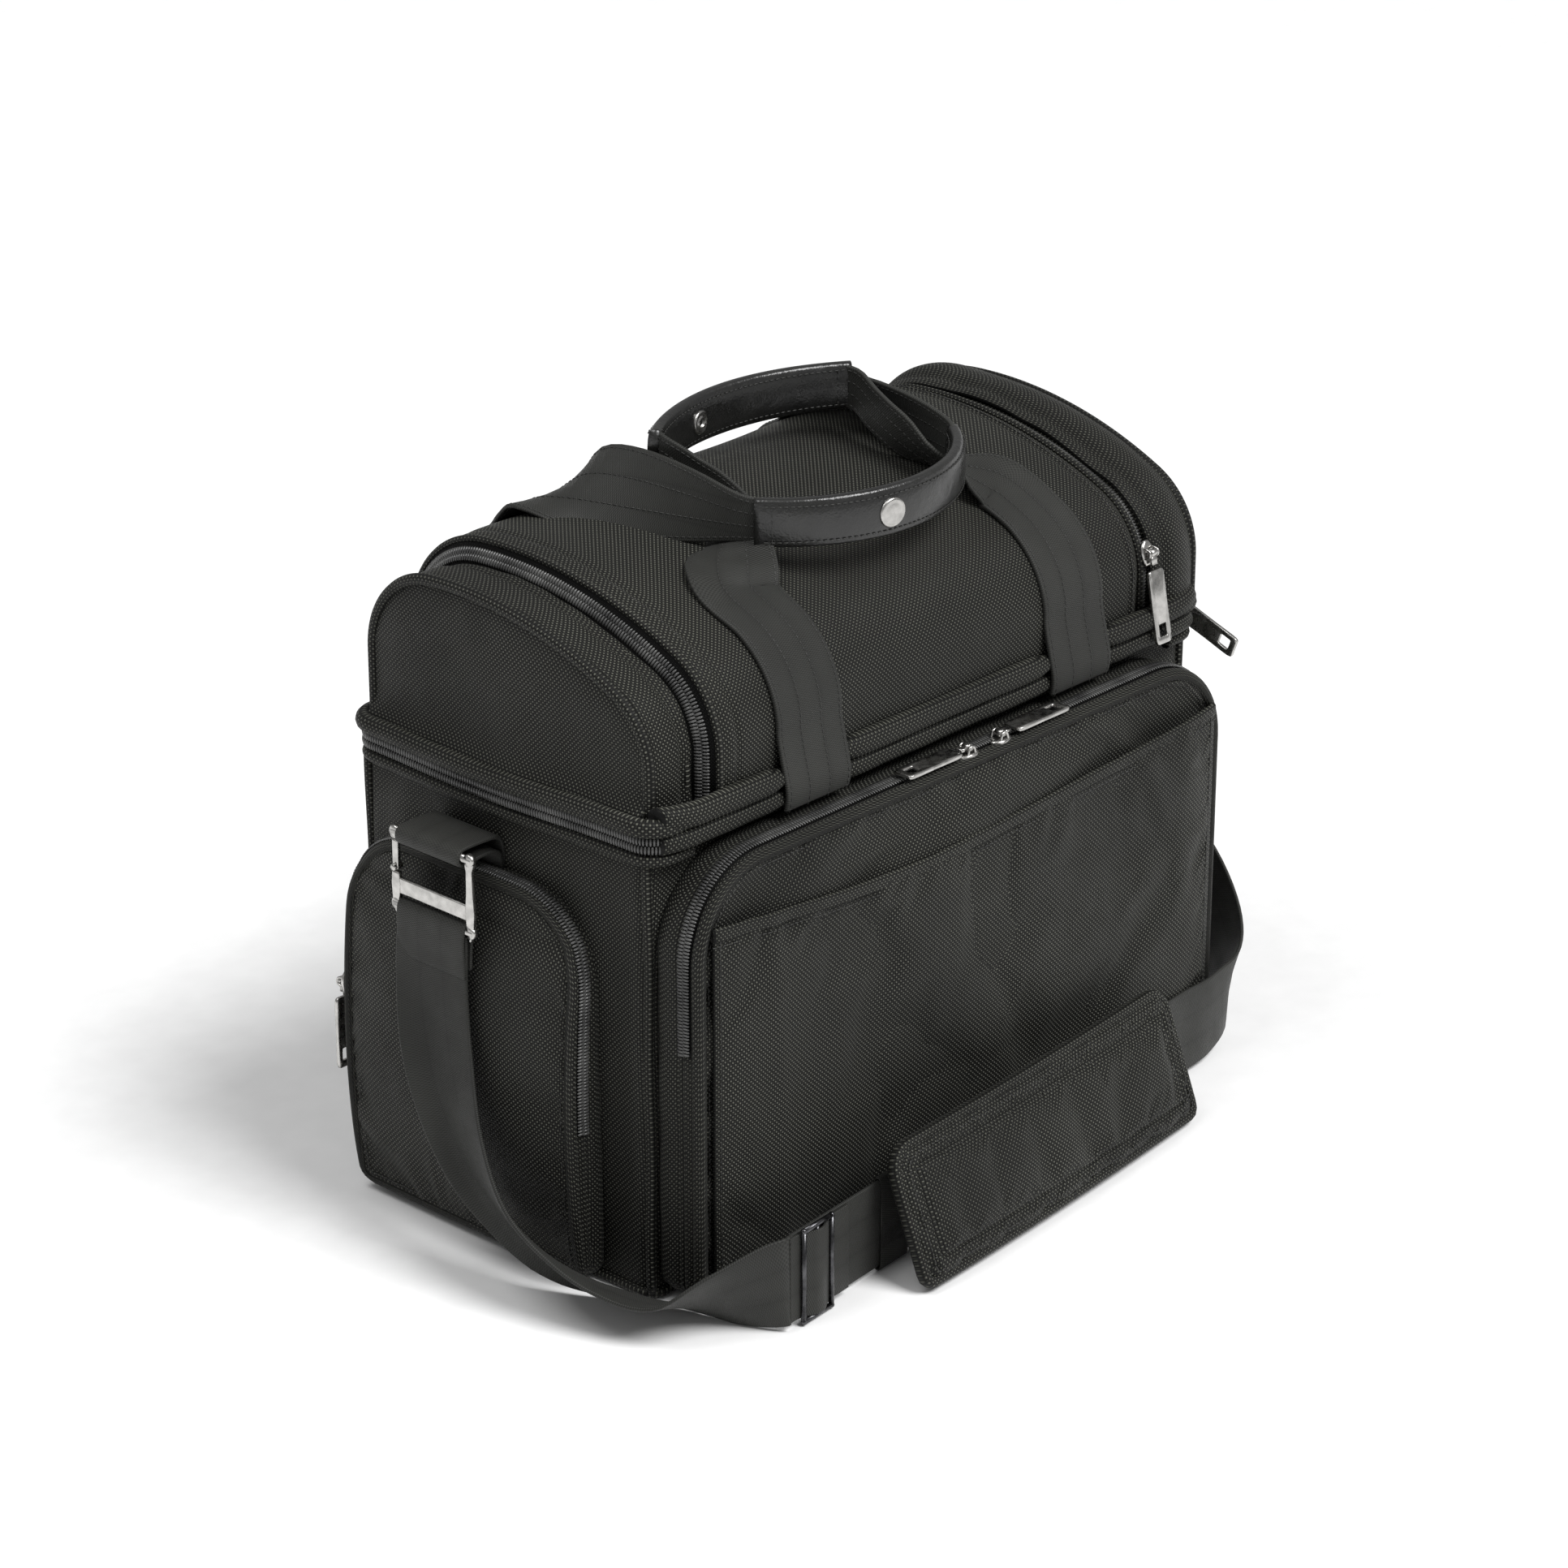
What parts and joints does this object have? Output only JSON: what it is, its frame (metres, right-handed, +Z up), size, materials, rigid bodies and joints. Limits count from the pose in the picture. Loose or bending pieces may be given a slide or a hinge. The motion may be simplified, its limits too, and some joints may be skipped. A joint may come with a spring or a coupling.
{
  "type": "flight bag",
  "caption": "Soft flight bag with a domed zip lid, front and end pockets, two crossing carry handles and a padded shoulder strap on metal connectors.",
  "frame": {"origin": "centre of the flat underside the bag stands on", "axes": "+Z up, -Y towards the front pocket, +X towards the bag's right end when seen from the front"},
  "size_m": [0.5025, 0.3311, 0.4065],
  "materials": {
    "nylon": "matte basket-weave",
    "lining": "smooth woven",
    "board": "matte",
    "piping": "woven",
    "zip_tape": "woven tape with coil",
    "webbing": "ribbed webbing",
    "leather": "soft sheen",
    "nickel": "satin nickel",
    "black_nickel": "black nickel"
  },
  "bodies": {
    "bag": {"bottom_panel": "nylon", "base_board": "board", "front_panel": "nylon", "back_panel": "nylon", "left_end_panel": "nylon", "right_end_panel": "nylon", "corner_piping": "piping", "main_lining": "lining", "front_pocket_gusset": "nylon", "front_pocket_zip": "zip_tape", "front_pocket_panel": "nylon", "front_slip_panel": "nylon", "left_pocket_gusset": "nylon", "left_pocket_zip": "zip_tape", "left_pocket_panel": "nylon", "right_pocket_gusset": "nylon", "right_pocket_zip": "zip_tape", "right_pocket_panel": "nylon", "left_strap_anchor": "webbing", "right_strap_anchor": "webbing", "lid_zip_lower": "zip_tape"},
    "lid": {"lid_zip_upper": "zip_tape", "lid_center_shell": "nylon", "lid_left_cap": "nylon", "lid_right_cap": "nylon", "lid_left_end": "nylon", "lid_right_end": "nylon", "left_arch_zip": "zip_tape", "right_arch_zip": "zip_tape", "lid_front_roll": "nylon", "lid_straps": "webbing"},
    "front_handle": {"front_handle_webbing": "webbing", "front_handle_grip": "leather", "snap_cap": "nickel"},
    "back_handle": {"back_handle_webbing": "webbing", "back_handle_grip": "leather", "snap_socket": "nickel"},
    "strap": {"left_connector": "nickel", "right_connector": "nickel", "strap_webbing": "webbing"},
    "pad": {"shoulder_pad": "nylon", "pad_binding": "webbing", "pad_loops": "webbing"},
    "left_gate_body": {"left_gate": "nickel"},
    "right_gate_body": {"right_gate": "nickel"},
    "triglide_body": {"triglide": "black_nickel"},
    "front_slider_left_body": {"front_slider_left": "nickel"},
    "front_slider_right_body": {"front_slider_right": "nickel"},
    "front_pull_left_body": {"front_pull_left": "nickel"},
    "front_pull_right_body": {"front_pull_right": "nickel"},
    "left_pocket_slider_body": {"left_pocket_slider": "nickel"},
    "left_pocket_pull_body": {"left_pocket_pull": "nickel"},
    "right_pocket_slider_body": {"right_pocket_slider": "nickel"},
    "right_pocket_pull_body": {"right_pocket_pull": "nickel"},
    "lid_zip_slider_body": {"lid_zip_slider": "nickel"},
    "lid_zip_pull_body": {"lid_zip_pull": "nickel"},
    "left_arch_slider_body": {"left_arch_slider": "nickel"},
    "right_arch_slider_body": {"right_arch_slider": "nickel"},
    "left_arch_pull_body": {"left_arch_pull": "nickel"},
    "right_arch_pull_body": {"right_arch_pull": "nickel"}
  },
  "joints": [
    {"name": "lid_hinge", "type": "hinge", "parent": "bag", "child": "lid", "pos_m": [0, -0.114, 0.252], "axis": [1, 0, 0], "range_deg": [0, 75]},
    {"name": "front_handle_lift", "type": "hinge", "parent": "lid", "child": "front_handle", "pos_m": [0, 0.066, 0.3638], "axis": [-1, 0, 0], "range_deg": [0, 25]},
    {"name": "back_handle_lift", "type": "hinge", "parent": "lid", "child": "back_handle", "pos_m": [0, -0.066, 0.3462], "axis": [1, 0, 0], "range_deg": [0, 25]},
    {"name": "shoulder_strap_swing", "type": "hinge", "parent": "bag", "child": "strap", "pos_m": [0, 0.02, 0.228], "axis": [-1, 0, 0], "range_deg": [0, 200], "deforming": ["left_strap_anchor", "right_strap_anchor"]},
    {"name": "pad_slide", "type": "slide", "parent": "strap", "child": "pad", "axis": [0.9965, 0.0837, 0], "range_m": [-0.02, 0.03]},
    {"name": "triglide_slide", "type": "slide", "parent": "strap", "child": "triglide_body", "axis": [0.9965, 0.0837, 0], "range_m": [0, 0.025]},
    {"name": "left_gate_hinge", "type": "hinge", "parent": "strap", "child": "left_gate_body", "pos_m": [-0.24, 0.047, 0.2085], "axis": [1, 0, 0], "range_deg": [0, 35], "stiffness_Nm_per_rad": 0.01, "springref_deg": -5.73},
    {"name": "right_gate_hinge", "type": "hinge", "parent": "strap", "child": "right_gate_body", "pos_m": [0.24, 0.047, 0.2085], "axis": [1, 0, 0], "range_deg": [0, 35], "stiffness_Nm_per_rad": 0.01, "springref_deg": -5.73},
    {"name": "front_left_slider_slide", "type": "slide", "parent": "bag", "child": "front_slider_left_body", "axis": [-1, 0, 0], "range_m": [0, 0.14]},
    {"name": "front_left_pull_swing", "type": "hinge", "parent": "front_slider_left_body", "child": "front_pull_left_body", "pos_m": [0.002, -0.126, 0.2486], "axis": [0, -1, 0], "range_deg": [-75, 0]},
    {"name": "front_right_slider_slide", "type": "slide", "parent": "bag", "child": "front_slider_right_body", "axis": [1, 0, 0], "range_m": [0, 0.12]},
    {"name": "front_right_pull_swing", "type": "hinge", "parent": "front_slider_right_body", "child": "front_pull_right_body", "pos_m": [0.028, -0.126, 0.2486], "axis": [0, 1, 0], "range_deg": [-75, 0]},
    {"name": "left_pocket_slider_slide", "type": "slide", "parent": "bag", "child": "left_pocket_slider_body", "axis": [0, 0, 1], "range_m": [-0.05, 0.035]},
    {"name": "left_pocket_pull_swing", "type": "hinge", "parent": "left_pocket_slider_body", "child": "left_pocket_pull_body", "pos_m": [-0.229, 0.1036, 0.122], "axis": [1, 0, 0], "range_deg": [0, 75]},
    {"name": "right_pocket_slider_slide", "type": "slide", "parent": "bag", "child": "right_pocket_slider_body", "axis": [0, 0, 1], "range_m": [-0.05, 0.035]},
    {"name": "right_pocket_pull_swing", "type": "hinge", "parent": "right_pocket_slider_body", "child": "right_pocket_pull_body", "pos_m": [0.229, 0.1036, 0.122], "axis": [1, 0, 0], "range_deg": [0, 75]},
    {"name": "lid_zip_slider_slide", "type": "slide", "parent": "bag", "child": "lid_zip_slider_body", "axis": [0, 1, 0], "range_m": [0, 0.165]},
    {"name": "lid_zip_pull_swing", "type": "hinge", "parent": "lid_zip_slider_body", "child": "lid_zip_pull_body", "pos_m": [0.2186, -0.084, 0.256], "axis": [0, 0, 1], "range_deg": [0, 75]},
    {"name": "right_arch_slider_travel", "type": "hinge", "parent": "lid", "child": "right_arch_slider_body", "pos_m": [0.17, -0.058, 0.291], "axis": [-1, 0, 0], "range_deg": [0, 50]},
    {"name": "right_arch_pull_swing", "type": "hinge", "parent": "right_arch_slider_body", "child": "right_arch_pull_body", "pos_m": [0.17, -0.1117, 0.30539], "axis": [-1, 0, 0], "range_deg": [0, 75]},
    {"name": "left_arch_slider_travel", "type": "hinge", "parent": "lid", "child": "left_arch_slider_body", "pos_m": [-0.17, 0.05, 0.304], "axis": [1, 0, 0], "range_deg": [0, 50]},
    {"name": "left_arch_pull_swing", "type": "hinge", "parent": "left_arch_slider_body", "child": "left_arch_pull_body", "pos_m": [-0.17, 0.11143, 0.32046], "axis": [1, 0, 0], "range_deg": [0, 75]}
  ],
  "couplings": [
    {"joint": "back_handle_lift", "follows": "front_handle_lift", "ratio": 1}
  ]
}
